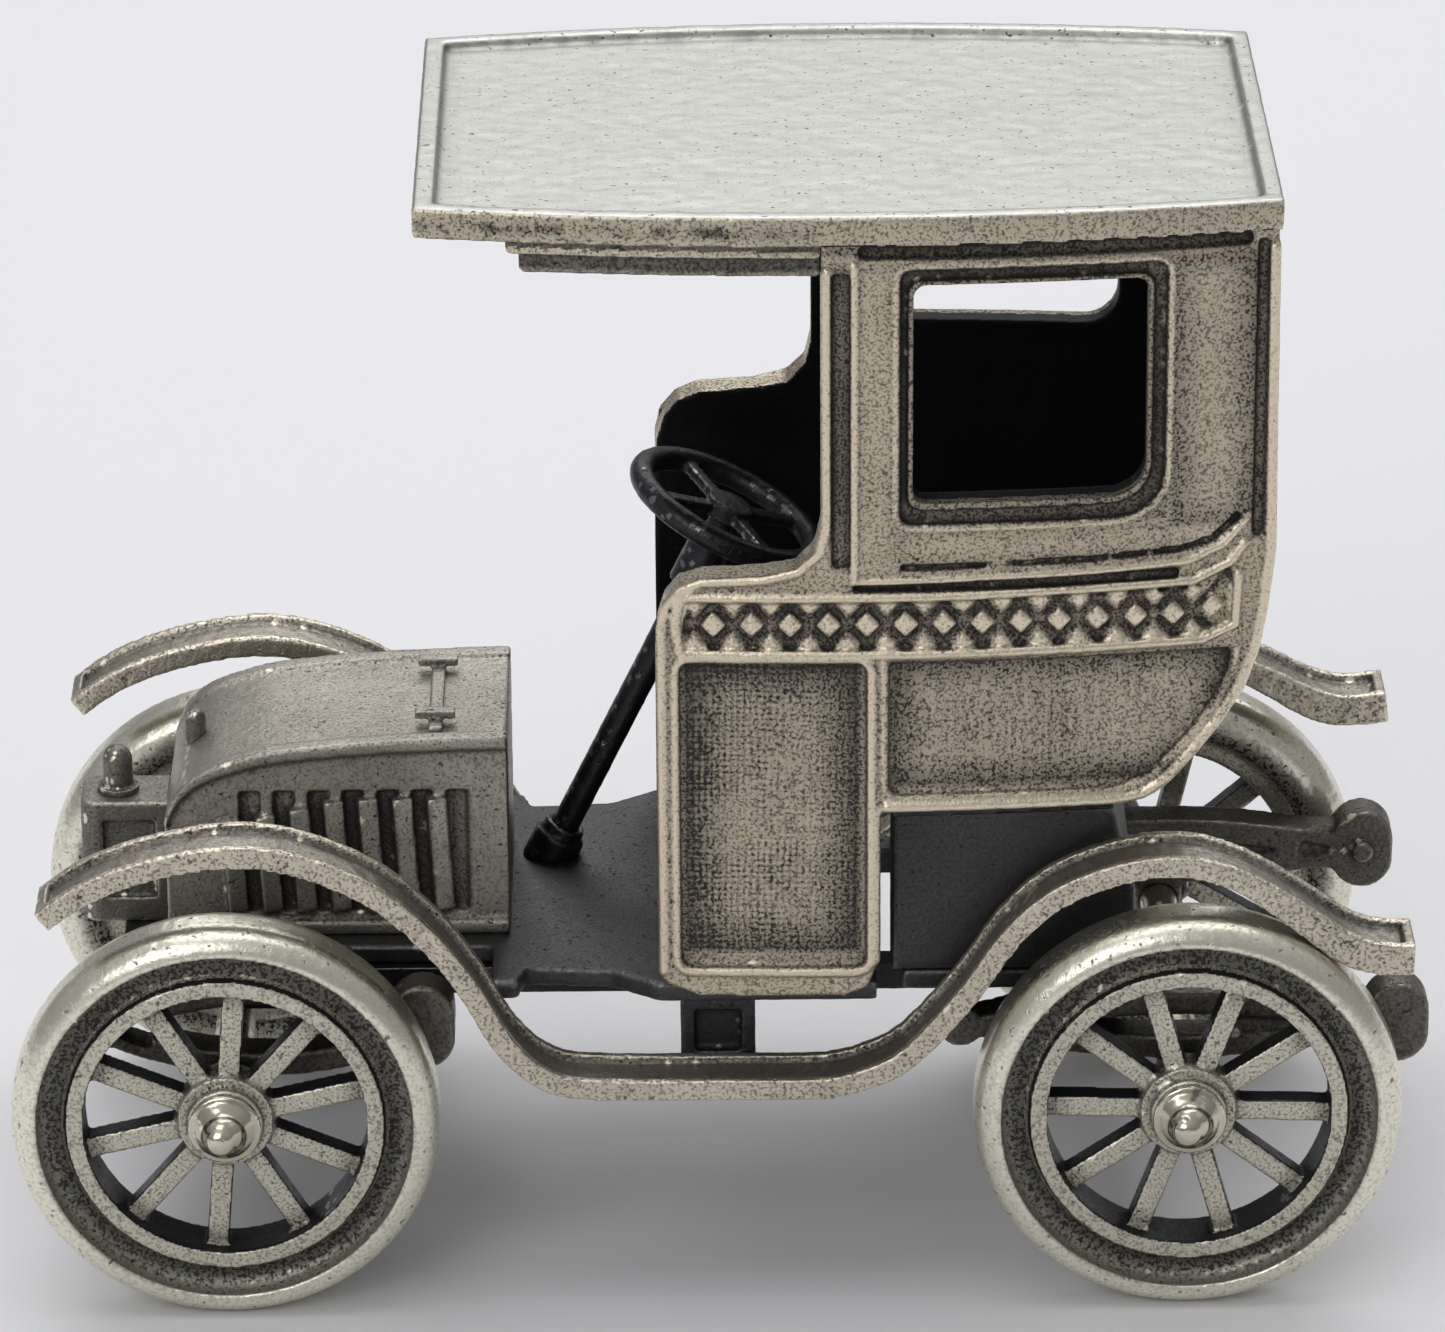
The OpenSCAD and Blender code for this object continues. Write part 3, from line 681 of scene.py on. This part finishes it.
for side, label in ((1, "left"), (-1, "right")):
    casting(
        f"cab_side_{label}", [f"side_panel_{label}"], "car", RELIEF_METAL,
        # the inner faces and window walls get painted shade
        voxel=0.10, extra=side_relief(side), lump=0.012, patches=[(INSIDE_SHADE_METAL, inside_face(side))],
    )
    casting(
        f"fender_{label}_cast", [f"fender_{label}"], "car", FENDER_METAL,
        voxel=0.11, lump=0.03, patches=[(LIP_METAL, fender_lip)],
    )
    for end in ("front", "rear"):
        casting(
            f"wheel_{end}_{label}_cast", [f"wheel_{end}_{label}"], f"wheel_{end}_{label}", SPOKE_METAL,
            voxel=0.10, lump=0.012,
            patches=[(TYRE_METALS[end], tyre_face(AXLE_X[end])), (DARK_METAL, spoke_wall(AXLE_X[end]))],
        )
        casting(
            f"spring_{end}_{label}_cast", [f"spring_{end}_{label}"], "car", SPRING_METAL,
            voxel=0.11, extra=spring_filling(side) if end == "rear" else None, lump=0.03,
        )

casting(
    "roof_cast", ["roof"], "car", ROOF_METAL,
    voxel=0.14, lump=0.02, lump_size=0.8,
    # the roof's underside over the rear gets painted shade
    patches=[(RIM_METAL, roof_rim), (INSIDE_SHADE_METAL, lambda c, n: n.z < -0.5 and c.x < SEAM_X)],
)
casting(
    "rear_wall", ["rear_panel"], "car", RELIEF_METAL,
    # the wall's inner face gets painted shade
    voxel=0.15, lump=0.02, patches=[(INSIDE_SHADE_METAL, lambda c, n: n.x > 0.3)],
)
casting(
    "canopy_cast", ["canopy_ceiling"], "car", CORNICE_METAL,
    voxel=0.11, extra=cornice_lines, lump=0.03, patches=[(RIM_METAL, cornice_ridge)],
)
casting(
    "hood_cast", ["hood"], "car", HOOD_METAL,
    voxel=0.11, extra=louvre_ribs, lump=0.02,
)
casting("hood_strap_cast", ["hood_strap"], "car", HOOD_METAL, voxel=0.07, lump=0.01)
casting("tank_cast", ["radiator_tank"], "car", NOSE_METAL, voxel=0.09, lump=0.02)
casting("cap_cast", ["filler_cap"], "car", NOSE_METAL, voxel=0.06, lump=0.01)
casting("knob_cast", ["nose_knob"], "car", NOSE_METAL, voxel=0.06, lump=0.01)
for source, name in (("floor_pan", "floor_cast"), ("rear_platform", "rear_platform_cast")):
    casting(name, [source], "car", FLOOR_METAL, voxel=0.14, lump=0.02)
casting("seat_box_cast", ["under_seat_box"], "car", FLOOR_METAL, voxel=0.16, lump=0.02)
casting("steering_cast", ["steering_wheel"], "car", DARK_METAL, voxel=0.09, lump=0.02)
for source in ("chassis_rail_left", "chassis_rail_right", "crossbar_front", "crossbar_rear", "cabin_floor",
               "board_brackets", "spring_hangers", "axle_washers", "column_boss"):
    casting(source + "_cast", [source], "car", DARK_METAL, voxel=0.1, lump=0.02)
for end in ("front", "rear"):
    casting(
        f"axle_{end}_cast", [f"axle_{end}"], "car", AXLE_METAL,
        voxel=0.09, extra=peened_ends(AXLE_X[end]), lump=0.01,
    )


# ================= stage =================
def stage_floor():
    """The pale paper that the car stands on."""
    mesh = bpy.data.meshes.new("floor")
    bm = bmesh.new()
    bmesh.ops.create_grid(bm, x_segments=1, y_segments=1, size=3.0)
    bm.to_mesh(mesh)
    bm.free()
    o = new_object("floor", mesh)
    m = bpy.data.materials.new("paper")
    m.use_nodes = True
    shader = m.node_tree.nodes["Principled BSDF"]
    shader.inputs["Base Color"].default_value = (0.78, 0.78, 0.80, 1)
    shader.inputs["Roughness"].default_value = 0.7
    mesh.materials.append(m)


def lamp(name, place, size, power):
    """A rectangular softbox that faces the car."""
    data = bpy.data.lights.new(name, "AREA")
    data.shape = "RECTANGLE"
    data.size, data.size_y = size
    data.energy = power
    o = bpy.data.objects.new(name, data)
    o.location = place
    o.rotation_euler = (Vector((0, 0, 0.02)) - Vector(place)).to_track_quat("-Z", "Y").to_euler()
    bpy.context.scene.collection.objects.link(o)


def studio_world():
    """A soft grey tent, darker toward the floor."""
    world = bpy.data.worlds.new("studio")
    bpy.context.scene.world = world
    world.use_nodes = True
    sky = world.node_tree
    direction = node(sky, "ShaderNodeSeparateXYZ")
    sky.links.new(node(sky, "ShaderNodeTexCoord").outputs["Generated"], direction.inputs[0])
    upward = maths(sky, "ADD", maths(sky, "MULTIPLY", direction.outputs["Z"], 0.5, clamp=False), 0.5)
    tent = ramp(sky, upward, [
        (0.40, (0.13, 0.13, 0.135)),
        (0.56, (0.30, 0.30, 0.31)),
        (0.95, (0.62, 0.62, 0.64)),
    ])
    sky.links.new(tent, sky.nodes["Background"].inputs["Color"])
    sky.nodes["Background"].inputs["Strength"].default_value = 0.75


def add_camera():
    """A long lens that looks down on the car's left side."""
    data = bpy.data.cameras.new("camera")
    data.sensor_width = 36
    data.lens = 189.713
    data.clip_start = 0.01
    camera = bpy.data.objects.new("camera", data)
    bpy.context.scene.collection.objects.link(camera)
    look = Vector((-0.0062703, -0.91539199, -0.40251483))
    right = Vector((-0.99993286, 0.00966232, -0.00639709))
    up = Vector((-0.00974508, -0.40244769, 0.91539111))
    turn = Matrix((right, up, -look)).transposed()
    place = Vector((0.00195, 0.2790485, 0.145249 + BODY_LIFT * MM))
    camera.matrix_world = Matrix.Translation(place) @ turn.to_4x4()
    bpy.context.scene.camera = camera


stage_floor()
lamp("top_softbox", (0.03, -0.06, 0.45), (0.45, 0.45), 0.95)
lamp("back_softbox", (-0.08, -0.44, 0.42), (0.60, 0.40), 1.15)
lamp("front_softbox", (0.20, 0.42, 0.30), (0.30, 0.30), 0.62)
studio_world()
bpy.context.scene.view_settings.view_transform = "Standard"
add_camera()
